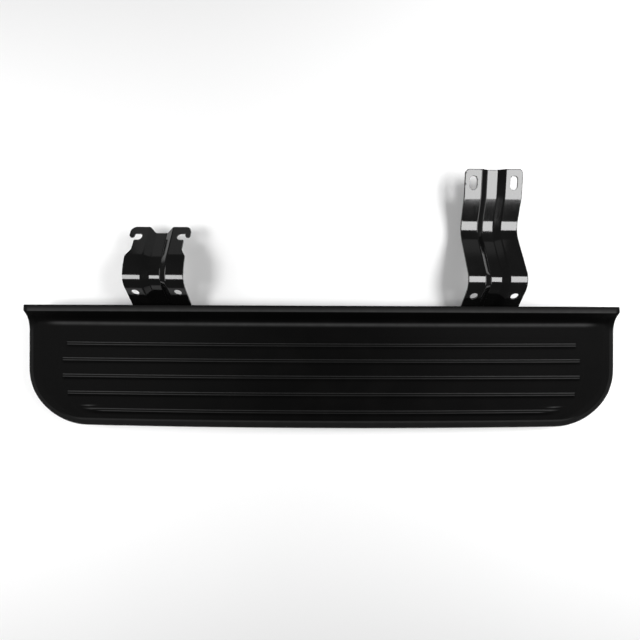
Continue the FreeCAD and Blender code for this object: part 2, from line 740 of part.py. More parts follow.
def make_foot_fasteners():
    """Bolts, spring washers and washers under each bracket foot, and the weld nuts in the two rails."""
    washer_low = f"{FOOT_BOTTOM} - Sizes.washer_thickness"
    spring_low = f"{washer_low} - Sizes.spring_washer_thickness"
    head_low = f"{spring_low} - Sizes.bolt_head_height"
    nut_low = f"{FOOT_TOP} + Sizes.rail_sheet"
    shank_top = f"{nut_low} + Sizes.nut_height + Sizes.nut_stand_out"
    hole = "Sizes.bolt_radius + Sizes.bolt_clearance"

    head = solid(
        "Prism",
        "BoltHead",
        head_low,
        Circumradius="Sizes.bolt_head_flats / sqrt(3)",
        Height="Sizes.bolt_head_height",
    )
    shank = solid(
        "Cylinder",
        "BoltShank",
        spring_low,
        Radius="Sizes.bolt_radius",
        Height=f"{shank_top} - ({spring_low})",
    )
    bolt = joined("FootBolt", head, shank)

    disc = solid(
        "Cylinder", "WasherDisc", washer_low, Radius="Sizes.washer_radius", Height="Sizes.washer_thickness"
    )
    disc_hole = solid("Cylinder", "WasherHole", washer_low, Radius=hole, Height="Sizes.washer_thickness")
    washer = cut_away("Washer", disc, disc_hole)

    thick = "Sizes.spring_washer_thickness"
    coil = solid("Cylinder", "SpringDisc", spring_low, Radius="Sizes.spring_washer_radius", Height=thick)
    coil_hole = solid("Cylinder", "SpringHole", spring_low, Radius=hole, Height=thick)
    split = solid(
        "Box",
        "SpringSplit",
        spring_low,
        Length="Sizes.spring_washer_radius",
        Width="Sizes.spring_washer_gap",
        Height=thick,
    )
    spring = cut_away("SpringWasher", cut_away("SpringRing", coil, coil_hole), split)

    block = solid(
        "Prism",
        "NutBlock",
        nut_low,
        Circumradius="Sizes.nut_flats / sqrt(3)",
        Height="Sizes.nut_height",
    )
    bore = solid("Cylinder", "NutBore", nut_low, Radius=hole, Height="Sizes.nut_height")
    nut = cut_away("WeldNut", block, bore)

    nodes = []
    for bracket, columns in BOLT_COLUMNS.items():
        places = [(column, row) for column in columns for row in BOLT_ROWS.values()]
        for pattern, kind in ((bolt, "bolts"), (spring, "spring_washers"), (washer, "washers")):
            nodes.append(copies(f"{bracket}_foot_{kind}", pattern, places))
    for end, row in BOLT_ROWS.items():
        places = [(column, row) for columns in BOLT_COLUMNS.values() for column in columns]
        nodes.append(copies(f"{end}_rail_weld_nuts", nut, places))
    return nodes


def make_shell_fixings():
    """Pan-head screws up through each rail's brims into the shell's bosses, and the tape they pinch."""
    brim_bottom = f"{RAIL_TOP} - Sizes.rail_sheet"
    head_low = f"{brim_bottom} - Sizes.screw_head_height"
    head = solid(
        "Cylinder", "ScrewHead", head_low, Radius="Sizes.screw_head_radius", Height="Sizes.screw_head_height"
    )
    shank = solid(
        "Cylinder",
        "ScrewShank",
        brim_bottom,
        Radius="Sizes.screw_radius",
        Height="Sizes.rail_sheet + Sizes.tape_thickness + Sizes.screw_bite",
    )
    screw = joined("ShellScrew", head, shank)

    width = "(Sizes.brim_width - 2 * Sizes.tape_margin)"
    strip = solid(
        "Box",
        "TapeStrip",
        RAIL_TOP,
        Length=f"2 * {RAIL_HALF}",
        Width=width,
        Height="Sizes.tape_thickness",
    )
    bind(strip, "Placement.Base.x", f"-{RAIL_HALF}")
    bind(strip, "Placement.Base.y", f"-{width} / 2")
    hole = solid(
        "Cylinder",
        "TapeHole",
        RAIL_TOP,
        Radius="Sizes.screw_hole_radius + Sizes.bolt_clearance",
        Height="Sizes.tape_thickness",
    )
    tape = cut_away("Tape", strip, copies("TapeHoles", hole, [(column, "0") for column in SCREW_COLUMNS]))

    nodes = []
    for end, rows in (("front", BRIM_ROWS[:2]), ("rear", BRIM_ROWS[2:])):
        places = [(column, row) for column in SCREW_COLUMNS for row in rows]
        nodes.append(copies(f"{end}_rail_screws", screw, places))
        nodes.append(copies(f"{end}_rail_tape", tape, [("0", row) for row in rows]))
    return nodes


# ---------------------------------------------------------------- build, test and write
nodes = [make_step_shell(), make_rail("front"), make_rail("rear")]
outer = f"({RAIL_HALF} - Sizes.cross_member_inset)"
for name, place in (("left", f"-{outer}"), ("centre", "0"), ("right", outer)):
    nodes.append(make_cross_member(name, place))
nodes.append(make_hook_bracket())
nodes.append(make_slotted_bracket())
nodes += make_foot_fasteners()
nodes += make_shell_fixings()
doc.recompute()

failed = [item.Label for item in doc.Objects if {"Invalid", "Error"} & set(item.State)]
if failed:
    raise RuntimeError(f"These objects failed: {failed}")
for node in nodes:
    if node.Shape.isNull() or not node.Shape.isValid():
        raise RuntimeError(f"{node.Label} has no valid shape")

os.makedirs("parts", exist_ok=True)
for node in nodes:
    node.Shape.exportStep(f"parts/{node.Label}.step")
    box = node.Shape.BoundBox
    print(
        f"{node.Label}: {len(node.Shape.Solids)} solids, {node.Shape.Volume / 1000:.1f} cm3, "
        f"X {box.XMin:.1f} {box.XMax:.1f}  Y {box.YMin:.1f} {box.YMax:.1f}  Z {box.ZMin:.1f} {box.ZMax:.1f}"
    )
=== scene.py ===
"""Running-board step: a moulded black step on a steel frame, hung from two pressed steel brackets."""

import math

import bmesh
import bpy
import numpy as np
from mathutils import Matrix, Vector
from mathutils.geometry import delaunay_2d_cdt


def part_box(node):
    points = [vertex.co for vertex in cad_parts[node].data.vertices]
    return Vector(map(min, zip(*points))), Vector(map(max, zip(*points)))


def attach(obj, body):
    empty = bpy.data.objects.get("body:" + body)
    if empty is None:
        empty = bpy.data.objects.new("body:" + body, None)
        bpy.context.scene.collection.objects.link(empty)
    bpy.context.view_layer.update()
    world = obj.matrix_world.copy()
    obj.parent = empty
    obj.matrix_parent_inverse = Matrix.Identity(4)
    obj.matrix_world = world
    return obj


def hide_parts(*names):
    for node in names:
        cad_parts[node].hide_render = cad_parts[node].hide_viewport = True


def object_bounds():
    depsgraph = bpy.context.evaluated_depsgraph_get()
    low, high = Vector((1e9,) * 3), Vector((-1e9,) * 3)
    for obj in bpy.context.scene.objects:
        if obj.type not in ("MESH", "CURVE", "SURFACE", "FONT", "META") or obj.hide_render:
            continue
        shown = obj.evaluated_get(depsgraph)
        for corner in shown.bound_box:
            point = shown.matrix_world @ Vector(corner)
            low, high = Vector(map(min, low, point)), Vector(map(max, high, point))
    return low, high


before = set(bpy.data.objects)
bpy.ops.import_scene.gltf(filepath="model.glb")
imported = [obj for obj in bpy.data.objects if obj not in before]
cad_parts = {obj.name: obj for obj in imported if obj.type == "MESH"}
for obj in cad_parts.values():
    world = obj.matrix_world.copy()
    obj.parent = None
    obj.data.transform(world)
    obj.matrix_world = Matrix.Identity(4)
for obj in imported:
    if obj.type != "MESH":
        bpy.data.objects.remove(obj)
cad_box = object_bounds()
MM = 0.001


# ------------------------------------------------------------------ step shell
# The step itself: one injection moulding in grained black polypropylene, about 3 mm thick. Its tread
# carries five grip ribs, its rim rolls down into a skirt and its rear wall climbs to a flat lip.
# It is screwed up from below to the steel frame.


def smooth(value, start, end):
    """Smoothstep: 0 before start, 1 after end, and the cubic 3t^2 - 2t^3 of the way between."""
    share = np.clip((value - start) / (end - start), 0.0, 1.0)
    return share * share * (3.0 - 2.0 * share)


def rounded_path(corners, steps=8):
    """Points along straight runs joined by tangent arcs. A corner is (across, up, radius): its arc
    starts and ends radius * tan(turn / 2) away from the corner, with its centre on the bisector."""
    points = [np.array(corners[0][:2], float)]
    for before, corner, after in zip(corners, corners[1:], corners[2:]):
        place, radius = np.array(corner[:2], float), corner[2]
        back = np.array(before[:2], float) - place
        ahead = np.array(after[:2], float) - place
        back, ahead = back / np.hypot(*back), ahead / np.hypot(*ahead)
        half_turn = (math.pi - math.acos(np.clip(back @ ahead, -1, 1))) / 2
        middle = (back + ahead) / np.hypot(*(back + ahead))
        centre = place + middle * radius / math.cos(half_turn)
        start = place + back * radius * math.tan(half_turn) - centre
        sweep = 2 * half_turn * np.sign(back[0] * ahead[1] - back[1] * ahead[0])
        turns = -sweep * np.linspace(0, 1, steps + 1)
        points += [
            centre + np.array([start[0] * math.cos(t) - start[1] * math.sin(t),
                               start[0] * math.sin(t) + start[1] * math.cos(t)])
            for t in turns
        ]
    points.append(np.array(corners[-1][:2], float))
    return np.array(points)


def grid_faces(rows, columns, start=0):
    """Quads of a grid whose point (i, j) is number start + i * columns + j."""
    first = start + np.arange(rows - 1)[:, None] * columns + np.arange(columns - 1)
    return np.stack([first, first + 1, first + columns + 1, first + columns], -1).reshape(-1, 4)


def surface(name, points, faces, material, replaces=None, merge=1e-6, painted_light=None):
    """A mesh object from points in millimetres. Doubles are merged and faces with no area removed. The
    optional values, one to a point, of painted highlight (above 0) and painted shade (below 0) become an
    attribute that the material reads."""
    mesh = bpy.data.meshes.new(name)
    mesh.from_pydata((np.asarray(points) * MM).tolist(), [], np.asarray(faces).tolist())
    if painted_light is not None:
        mesh.attributes.new("painted_light", "FLOAT", "POINT").data.foreach_set("value", painted_light)
    work = bmesh.new()
    work.from_mesh(mesh)
    bmesh.ops.remove_doubles(work, verts=work.verts, dist=merge)
    bmesh.ops.dissolve_degenerate(work, edges=work.edges, dist=merge)
    work.to_mesh(mesh)
    work.free()
    mesh.shade_smooth()
    piece = bpy.data.objects.new(name, mesh)
    bpy.context.scene.collection.objects.link(piece)
    mesh.materials.append(material)
    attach(piece, "root")
    if replaces:
        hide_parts(replaces)
    return piece


class Wire:
    """One output socket. Its operators add Math nodes, so 1 - mask * 0.2 is written as it reads."""

    def __init__(self, finish, socket):
        self.finish, self.socket = finish, socket

    def _math(self, operation, *values):
        return self.finish.node("ShaderNodeMath", {"operation": operation}, dict(enumerate(values)))

    def __add__(self, other):
        return self._math("ADD", self, other)

    def __sub__(self, other):
        return self._math("SUBTRACT", self, other)

    def __rsub__(self, other):
        return self._math("SUBTRACT", other, self)

    def __mul__(self, other):
        return self._math("MULTIPLY", self, other)

    __radd__ = __add__
    __rmul__ = __mul__

    def clamped(self, low, high):
        """0 at low, 1 at high and a smooth S curve between."""
        settings = {"interpolation_type": "SMOOTHSTEP"}
        values = {"Value": self, "From Min": low, "From Max": high}
        return self.finish.node("ShaderNodeMapRange", settings, values)


class Finish:
    """A material built on one Principled shader, whose uniform values are set on its own sockets."""

    def __init__(self, name, **fixed):
        self.material = bpy.data.materials.new(name)
        self.material.use_nodes = True
        self.tree = self.material.node_tree
        self.shader = self.tree.nodes["Principled BSDF"]
        for socket, value in fixed.items():
            self.shader.inputs[socket.replace("_", " ")].default_value = value
        self.place = self.node("ShaderNodeTexCoord", {}, {}, "Object")

    def node(self, kind, settings, inputs, output=0):
        """Adds a node: its settings first, then the values or wires of its sockets."""
        made = self.tree.nodes.new(kind)
        for setting, value in settings.items():
            setattr(made, setting, value)
        for socket, value in inputs.items():
            if isinstance(value, Wire):
                self.tree.links.new(value.socket, made.inputs[socket])
            else:
                made.inputs[socket].default_value = value
        return Wire(self, made.outputs[output])

    def noise(self, scale, detail=2.0, place=None):
        """Fractal noise, with scale in cells to the metre."""
        values = {"Vector": place or self.place, "Scale": scale, "Detail": detail}
        return self.node("ShaderNodeTexNoise", {}, values)

    def cells(self, scale):
        """Distance to the nearest of scattered points, with scale in cells to the metre."""
        return self.node("ShaderNodeTexVoronoi", {}, {"Vector": self.place, "Scale": scale}, "Distance")

    def blend(self, mask, first, second):
        """A colour that goes from first to second as the mask goes from 0 to 1."""
        settings = {"data_type": "RGBA"}
        return self.node("ShaderNodeMix", settings, {0: mask, 6: first, 7: second}, 2)

    def raised(self, height, depth, strength=1.0):
        """A bump whose full height is depth metres."""
        values = {"Height": height, "Distance": depth, "Strength": strength}
        self.feed("Normal", self.node("ShaderNodeBump", {}, values))

    def feed(self, socket, wire):
        self.tree.links.new(wire.socket, self.shader.inputs[socket])


    def cover(self, *names):
        """Puts this material on every slot of the CAD nodes of these names."""
        for name in names:
            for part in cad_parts[name].material_slots:
                part.material = self.material


def grey(value, warmth=0.0):
    """An almost neutral colour; warmth above 0 leans it to brown."""
    return (value * (1 + warmth), value, value * (1 - warmth), 1.0)


def grained_plastic():
    """Fine leather-like grain and faint haze, a painted highlight on the lip's top, and painted highlight
    lines and painted shade read from the mesh's attribute.
    """
    finish = Finish("grained_plastic", Specular_IOR_Level=0.025)
    grain = finish.cells(1500.0)
    mottle = finish.noise(2600.0, 3.0)
    haze = finish.noise(14.0, 4.0).clamped(0.4, 0.75)
    # The mesh's attribute of painted highlight (above 0) and painted shade (below 0).
    painted_light = finish.node("ShaderNodeAttribute", {"attribute_name": "painted_light"}, {}, "Fac")
    patchy = 0.75 + finish.noise(60.0, 4.0) * 0.5
    # Painted highlight: the lip's top, above about 16 mm, is set lighter than the tread.
    height = finish.node("ShaderNodeSeparateXYZ", {}, {"Vector": finish.place}, "Z")
    lit_lip_top = height.clamped(0.0160, 0.0169) * 0.8
    colour = finish.blend(haze, grey(0.0019), grey(0.0028, 0.02))
    colour = finish.blend(lit_lip_top, colour, grey(0.0058))
    # Painted shade where the attribute is below 0: the rib dips and the wall's face.
    colour = finish.blend((0 - painted_light).clamped(0.0, 1.0) * 0.75, colour, grey(0.0008))
    # Painted highlight where the attribute is above 0, in patches: rib edges, fillet, lip edge and rim.
    colour = finish.blend(painted_light.clamped(0.0, 1.0) * patchy, colour, grey(0.036))
    finish.feed("Base Color", colour)
    finish.feed("Roughness", 0.5 + haze * 0.06 + mottle * 0.05)
    finish.raised(grain * 0.7 + mottle * 0.5, 0.00009, 0.6)
    return finish.material


plastic = grained_plastic()
shell_low, shell_high = (np.array(corner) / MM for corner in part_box("step_shell"))
HALF_LENGTH = shell_high[0]
FRONT = shell_low[1]
LIP_REAR = shell_high[1]
LIP_TOP = shell_high[2]
SKIRT_LOW = shell_low[2]
CORNER = 108.0  # front corners in plan
RIM = 1.5  # rim over the tread
RIM_FLAT = 13.0  # from the outline in to where the rim starts to fall
ROLL = 12.0
WALL_FOOT = 98.5
LIP_FRONT = 119.0
SKIRT_REAR = 116.0
EDGE = 1.4
RIB_ROWS = [58.7, 29.9, 0.0, -31.0, -63.1]
RIB_HEIGHT = 1.3
FRONT_RIB_INSET = 11.0  # how much sooner each end of the front rib stops
PANEL_CENTRE, PANEL_ROUND = 15.8, 112.0


def side_of_inset(along, inset):
    """Half the step's width at each place along Y, on the outline moved in by inset."""
    turn = np.clip(FRONT + CORNER - along, 0.0, CORNER - inset)
    return HALF_LENGTH - CORNER + np.sqrt((CORNER - inset) ** 2 - turn**2)


def edge_distance(across, along):
    """How far inside the plan outline a point is: the outline is straight sides and a front joined by
    quarter circles."""
    past_x = np.abs(across) - (HALF_LENGTH - CORNER)
    past_y = (FRONT + CORNER) - along
    corner = CORNER - np.hypot(np.maximum(past_x, 0), np.maximum(past_y, 0))
    return np.where((past_x > 0) & (past_y > 0), corner, np.minimum(CORNER - past_x, CORNER - past_y))


def rib_ends(along):
    """Half the length of the ribbed panel at each place along Y: its ends are bowed circles."""
    turn = np.clip(along, FRONT + RIM_FLAT, 70.0) - PANEL_CENTRE
    return HALF_LENGTH - 65.0 - PANEL_ROUND + np.sqrt(PANEL_ROUND**2 - turn**2)


def rib_section(offset):
    """One rib: a short rear slope, a flat top with a shallow groove along it, and a long front slope."""
    groove = 0.28 * np.exp(-((offset / 1.15) ** 2)) * (np.abs(offset) < 4)
    return RIB_HEIGHT * smooth(offset, -7.4, -1.9) * smooth(-offset, -3.6, -1.8) - groove


def on_rib(row, reach, along):
    """How far behind a rib's middle a point is, and 1 along the rib fading to 0 past its ends. The
    front rib is shorter and its ends curl back."""
    front = row == RIB_ROWS[-1]
    ends = float(rib_ends(np.array(row))) - (FRONT_RIB_INSET if front else 0.0)
    curl = 6.0 * smooth(reach, ends - 20.0, ends) if front else 0.0
    return along - row - curl, 1 - smooth(reach, ends - 1.0, ends + 2.0)


def tread_height(across, along):
    """Ribs and the panel's faint sunk edge, over the flat of the tread."""
    height = np.zeros(np.broadcast(across, along).shape)
    reach = np.abs(across)
    for row in RIB_ROWS:
        offset, fade = on_rib(row, reach, along)
        height += np.maximum(rib_section(offset), 0) * fade
    inside = 1 - smooth(reach, rib_ends(along) + 4.0, rib_ends(along) + 6.5)
    inside = inside * (1 - smooth(along, 70.0, 73.0)) * smooth(along, -78.0, -74.0)
    return height - 0.15 * inside


def painted_highlights_and_shade(across, along, height, inset):
    """Painted light for the base colour. Painted highlights are above 0: both edges of every rib's top,
    stronger towards the rib ends, the fillet under the wall, the lip's front edge and the rim's crease at
    the front. Painted shade is below 0: the foot of each rib's front slope and the wall's face. Each line
    is a bell curve across it."""
    reach = np.abs(across)
    value = np.zeros(across.shape)
    for row in RIB_ROWS:
        offset, fade = on_rib(row, reach, along)
        # Painted highlight lines along both edges of the rib's top, stronger towards the ends.
        fade = fade * (0.55 + 0.45 * smooth(reach, 60.0, 420.0))
        rear_edge = np.exp(-(((offset - 1.9) / 0.9) ** 2))
        front_edge = 0.8 * np.exp(-(((offset + 2.1) / 0.9) ** 2))
        value += fade * (rear_edge + front_edge)
        # Painted shade at the foot of the rib's front slope.
        value -= fade * 0.9 * np.exp(-(((offset + 7.6) / 2.6) ** 2))
    # Painted highlight along the fillet under the wall, away from the ends, and along the lip's front edge.
    middle = 1 - smooth(reach, HALF_LENGTH - 62.0, HALF_LENGTH - 24.0)
    value += 0.75 * middle * np.exp(-(((along - WALL_FOOT + 3.0) / 3.4) ** 2)) * (height < LIP_TOP - 6)
    value += 0.9 * np.exp(-(((along - LIP_FRONT) / 1.1) ** 2)) * (height > LIP_TOP - 1.5)
    # Painted shade on the wall's face.
    shade = smooth(along, WALL_FOOT + 3.0, WALL_FOOT + 8.0) * (1 - smooth(along, LIP_FRONT - 2.0, LIP_FRONT))
    value -= 0.8 * shade * (height < LIP_TOP - 1.5)
    # Painted highlight along the rim's crease at the front.
    sideways = smooth(reach, HALF_LENGTH - CORNER, HALF_LENGTH - CORNER * 0.45)
    return value + 0.55 * (1 - sideways) * np.exp(-(((inset - RIM_FLAT - 1.0) / 1.6) ** 2)) * (along < 0)


def row_places():
    """Rows across the tread: close together over each rib and at the rim, further apart on the land."""
    over_rib = np.array([4.6, 4.0, 3.5, 3.1, 2.8, 2.5, 2.2, 1.9, 1.5, 1.1, 0.7, 0.3, -0.3, -0.7, -1.1,
                         -1.5, -1.9, -2.3, -2.8, -3.5, -4.3, -5.2, -6.1, -6.9, -7.6])
    rows = [np.linspace(FRONT + RIM_FLAT, -76.0, 12), [-74.9, -74.0, -73.0, -72.0]]
    rows += [row + over_rib for row in RIB_ROWS]
    rows.append(RIB_ROWS[-1] + np.arange(5.5, 14.0, 1.0))
    ends = sorted([row + side for row in RIB_ROWS for side in (4.6, -7.6)])
    for start, end in zip(ends[1::2], ends[2::2]):
        rows.append(np.linspace(start, end, 8)[1:-1])
    rows.append(np.array([67.0, 69.5, 70.3, 71.2, 72.1, 73.0, 75.0, 78.0, 81.0, 84.0, 87.0, 90.0]))
    places = np.sort(np.concatenate(rows))
    return places[np.insert(np.diff(places) > 0.12, 0, True)]


def bow(across, along):
    """How far the moulding's ends lie back towards the vehicle: the square of the distance from the
    middle, times an amount that is largest at the front and at the lip."""
    amount = np.interp(along, [-95, -63, -31, 60, 98, 119, 130], [7.0, 5.7, 3.1, 2.6, 1.6, 0.0, 0.0])
    return (across / HALF_LENGTH) ** 2 * amount


def step_surface():
    """Rows run from the front rim over the tread, up the wall and over the lip; columns run along the
    step. Round the sides and front the rows' ends carry the rim's rolled profile down into the skirt."""
    flat = row_places()
    climb = rounded_path(
        [(93.0, 0, 0), (WALL_FOOT, 0, 12.0), (LIP_FRONT, LIP_TOP, EDGE), (LIP_REAR, LIP_TOP, EDGE),
         (LIP_REAR, LIP_TOP - 8.0, 0)],
        10,
    )
    drop_start = len(climb) - 2
    drop = np.linspace(climb[drop_start], climb[-1], 6)[1:]
    wall = np.concatenate([climb[:12], np.linspace(climb[11], climb[12], 8)[1:-1], climb[12:-1], drop])
    y = np.concatenate([flat[flat < 92.5], wall[:, 0]])
    z = np.concatenate([np.zeros((flat < 92.5).sum()), wall[:, 1]])
    dropping = np.arange(len(y)) >= len(y) - len(drop) - 10

    near = np.array([27.0, 24.5, 22.5, 21.0, 19.5, 18.0, 16.8, 15.8, 15.0, 14.3, 13.6, 13.0])
    rib_end = rib_ends(y)[:, None]
    side = side_of_inset(y, RIM_FLAT)[:, None]
    middle = np.linspace(0, 1, 26)[:-1] * (rib_end - 4.0)
    step = rib_end + np.array([-4.0, -2.5, -1.0, 0.0, 1.0, 2.0, 3.0, 4.0, 4.8, 5.6, 6.6, 8.0])
    outer_start = rib_end + 8.0
    inner_near = np.maximum(side - (near[0] - RIM_FLAT), outer_start + 0.5 * (side - outer_start))
    gap = outer_start + np.linspace(0, 1, 8)[1:] * (inner_near - outer_start)
    share = (near[0] - near[1:]) / (near[0] - near[-1])
    close = inner_near + share * (side - inner_near)
    half = np.concatenate([middle, step, gap, close], 1)
    x = np.concatenate([-half[:, :0:-1], half], 1)
    yy = np.broadcast_to(y[:, None], x.shape)

    horn = RIM + (LIP_TOP - RIM) * np.clip((y - 84.0) / (LIP_FRONT - 84.0), 0, 1) ** 2.2
    lift = np.where(dropping | (y > LIP_FRONT), 0.0, np.maximum(horn - z, 0))
    inset = edge_distance(x, yy)
    sideways = smooth(np.abs(x), HALF_LENGTH - CORNER, HALF_LENGTH - CORNER * 0.45)
    fall_end = 15.6 + 7.5 * sideways
    rim = 1 - smooth(inset, RIM_FLAT, fall_end)
    top = z[:, None] + lift[:, None] * rim
    on_tread = (y < 92.5)[:, None]
    top = top + np.where(on_tread, tread_height(x, yy) * smooth(inset, RIM_FLAT + 2, 24.0), 0)
    sheet = np.stack([x, yy, top], -1)
    # Painted highlight above 0 and painted shade below 0, one value to a point, for the base colour.
    painted_light = painted_highlights_and_shade(x, yy, top, inset)
    rows, columns = x.shape

    # The border of that grid: down the left side's rows, along the front, and up the right side's rows.
    left, right = sheet[::-1, 0], sheet[:, -1]
    border = np.concatenate([left, sheet[0, 1:-1], right])
    border_row = np.concatenate([np.arange(rows)[::-1], np.zeros(columns - 2, int), np.arange(rows)])
    centre = np.stack(
        [np.clip(border[:, 0], -(HALF_LENGTH - CORNER), HALF_LENGTH - CORNER),
         np.maximum(border[:, 1], FRONT + CORNER)], -1
    )
    outward = border[:, :2] - centre
    outward = outward / np.hypot(*outward.T)[:, None]

    at_rear = border[:, 1]
    draw_in = 5.5 * smooth(at_rear, 88.0, 112.0) - 1.5 * smooth(at_rear, 117.0, 125.0)
    tip = np.clip(at_rear - (LIP_REAR - 5.0), 0, 5.0)
    draw_in = draw_in + 5.0 - np.sqrt(25.0 - tip**2)
    border_drop = dropping[border_row]
    roll = ROLL + (EDGE - ROLL) * smooth(at_rear, 86.0, 112.0)
    roll = np.where(border_drop, 0.02, roll)
    lip_end_low = -12.0 + (at_rear - SKIRT_REAR) * 21.0 / (LIP_REAR - SKIRT_REAR)
    low = np.where(at_rear > SKIRT_REAR, lip_end_low, SKIRT_LOW)
    angle = np.linspace(math.pi / 2, 0, 10)
    out_flat = RIM_FLAT - (draw_in + roll)[:, None]
    spread = np.concatenate(
        [out_flat * np.linspace(0, 1, 4)[1:-1],
         RIM_FLAT - draw_in[:, None] - roll[:, None] * (1 - np.cos(angle))], 1
    )
    fall = np.concatenate([np.zeros((len(border), 2)), roll[:, None] * (1 - np.sin(angle))], 1)
    ring_xy = border[:, None, :2] + outward[:, None] * spread[..., None]
    ring_z = border[:, 2:3] - fall
    ring = np.concatenate([ring_xy, ring_z[..., None]], -1)
    last = ring[:, -1:]
    depth = np.where(border_drop, 0.0, np.minimum(low - last[:, 0, 2], 0.0))
    down = np.repeat(last, 8, 1)
    down[..., 2] += depth[:, None] * np.linspace(0, 1, 9)[1:]
    ring = np.concatenate([border[:, None], ring, down], 1)

    points = np.concatenate([sheet.reshape(-1, 3), ring.reshape(-1, 3)])
    points[:, 1] += bow(points[:, 0], points[:, 1])
    faces = np.concatenate(
        [grid_faces(rows, columns), grid_faces(ring.shape[0], ring.shape[1], rows * columns)]
    )
    # Painted highlight on the rim's rolled band round the sides and front, fading out towards the rear; the
    # band's first column carries the sheet's painted light values.
    ring_painted_light = 0.3 * (np.arange(ring.shape[1]) < 11) * (1 - smooth(at_rear, 80.0, 100.0))[:, None]
    ring_painted_light[:, 0] = painted_light[border_row, np.where(border[:, 0] < 0, 0, columns - 1)]
    ring_painted_light[rows : rows + columns - 2, 0] = painted_light[0, 1:-1]
    painted_light = np.concatenate([painted_light.ravel(), ring_painted_light.ravel()])
    return points, faces, painted_light


shell_points, shell_faces, shell_painted_light = step_surface()
shell = surface(
    "step_shell_moulding", shell_points, shell_faces, plastic, "step_shell", 2e-5,
    shell_painted_light,
)
wall = shell.modifiers.new("wall", "SOLIDIFY")
wall.thickness = 2.8 * MM
wall.offset = -1.0


# ------------------------------------------------------------------ ribs and bosses under the tread
# Part of the same moulding: four long ribs and ten cross ribs, each with draft and a rounded tip, and a
# boss round every screw. The frame's taped brims bear on their lower edges.


def rib_wall(start, end):
    """One rib from start to end in plan: a U section that narrows downward and is rounded at its tip,
    swept along the rib and drawn to nothing over the last half thickness at each end."""
    start, end = np.array(start), np.array(end)
    length = np.hypot(*(end - start))
    ahead = (end - start) / length
    aside = np.array([-ahead[1], ahead[0]])
    angle = np.linspace(0, math.pi, 9)
    off = np.concatenate([[1.25], 1.0 * np.cos(angle), [-1.25, 1.25]])
    z = np.concatenate([[-2.0], RIB_TIP + 1.0 - 1.0 * np.sin(angle), [-2.0, -2.0]])
    nose = 1.25 * (1 - np.cos(np.linspace(0, math.pi / 2, 7)))
    place = np.concatenate([nose, np.linspace(nose[-1], length - nose[-1], 40)[1:-1], length - nose[::-1]])
    from_end = np.clip(1.25 - np.minimum(place, length - place), 0, 1.25)
    width = np.sqrt(1.25**2 - from_end**2) / 1.25
    plan = start + place[:, None, None] * ahead + (width[:, None] * off)[..., None] * aside
    return np.concatenate([plan, np.broadcast_to(z[:, None], (*width.shape, len(z), 1))], -1)


def boss(across, along):
    """A turned boss: a profile of (radius, height) from its root, round its foot and up its hole."""
    profile = np.array([(0, -2.0), (5.4, -2.0), (5.05, RIB_TIP + 0.4), (4.93, RIB_TIP + 0.12), (4.6, RIB_TIP),
                        (2.5, RIB_TIP), (2.1, RIB_TIP + 0.4), (2.0, -3.8), (0, -3.8)])
    angle = np.linspace(0, 2 * math.pi, 33)
    radius = profile[:, 0] * np.ones((33, 1))
    return np.stack([across + radius * np.cos(angle)[:, None], along + radius * np.sin(angle)[:, None],
                     profile[:, 1] * np.ones((33, 1))], -1)


RIB_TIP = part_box("front_rail_tape")[1].z / MM
tape_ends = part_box("front_rail_tape")[1].x / MM
HALF_BRIM = 7.5
SCREW_HEAD = 4.2
brim_rows = [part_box(rail)[corner].y / MM + inward * HALF_BRIM
             for rail in ("front_rail", "rear_rail") for corner, inward in ((0, 1), (1, -1))]
SCREW_INNER = 140.0
screw_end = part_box("front_rail_screws")[1].x / MM - SCREW_HEAD
walls = [rib_wall((-tape_ends - 20.0, row), (tape_ends + 20.0, row)) for row in brim_rows]
cross_places = np.arange(-tape_ends, tape_ends + 1, 100.0)
walls += [rib_wall((x, FRONT + ROLL), (x, WALL_FOOT - 2.5)) for x in cross_places]
walls += [boss(x, row) for x in (-screw_end, -SCREW_INNER, SCREW_INNER, screw_end) for row in brim_rows]
starts = np.cumsum([0] + [wall.shape[0] * wall.shape[1] for wall in walls])
surface(
    "under_tread_ribs",
    np.concatenate([wall.reshape(-1, 3) for wall in walls]),
    np.concatenate([grid_faces(*wall.shape[:2], start)[:, ::-1] for wall, start in zip(walls, starts)]),
    plastic, merge=1e-8,
)


# ------------------------------------------------------------------ brackets
# Two pressings of 3 mm steel strip, each blanked flat with its holes and slots, given a sunk stiffening
# bead down the middle, bent on a press brake and dipped in gloss black. Both bolt up under the rails.


def gloss_black():
    """Dipped black coat over steel: faint orange peel, a faint film and settled dust."""
    finish = Finish("gloss_black_coat", Specular_IOR_Level=0.5)
    peel = finish.noise(260.0, 2.0)
    film = finish.noise(24.0, 5.0).clamped(0.35, 0.8)
    specks = 1 - finish.cells(420.0).clamped(0.02, 0.07)
    colour = finish.blend(film, grey(0.0026), grey(0.0042))
    finish.feed("Base Color", finish.blend(specks * 0.25, colour, grey(0.05)))
    finish.feed("Roughness", 0.085 + film * 0.04 + specks * 0.2)
    finish.raised(peel, 0.000012, 0.5)
    return finish.material


def spread_arcs(corners, steps=8):
    """A closed outline of straight runs and tangent arcs, from corners (across, along, radius)."""
    count = len(corners)
    parts = []
    for number in range(count):
        three = [corners[number - 1], corners[number], corners[(number + 1) % count]]
        if three[1][2]:
            parts.append(rounded_path(three, steps)[1:-1])
        else:
            parts.append(np.array([three[1][:2]]))
    return np.concatenate(parts)


def ring(across, along, radius, half_run=0.0, count=32):
    """A round hole, or a slot whose two half circles are centred half_run each way along the strip."""
    angle = (np.arange(count) + 0.5) * 2 * math.pi / count
    run = np.where(np.sin(angle) > 0, half_run, -half_run)
    return np.stack([across + radius * np.cos(angle), along + run + radius * np.sin(angle)], -1)


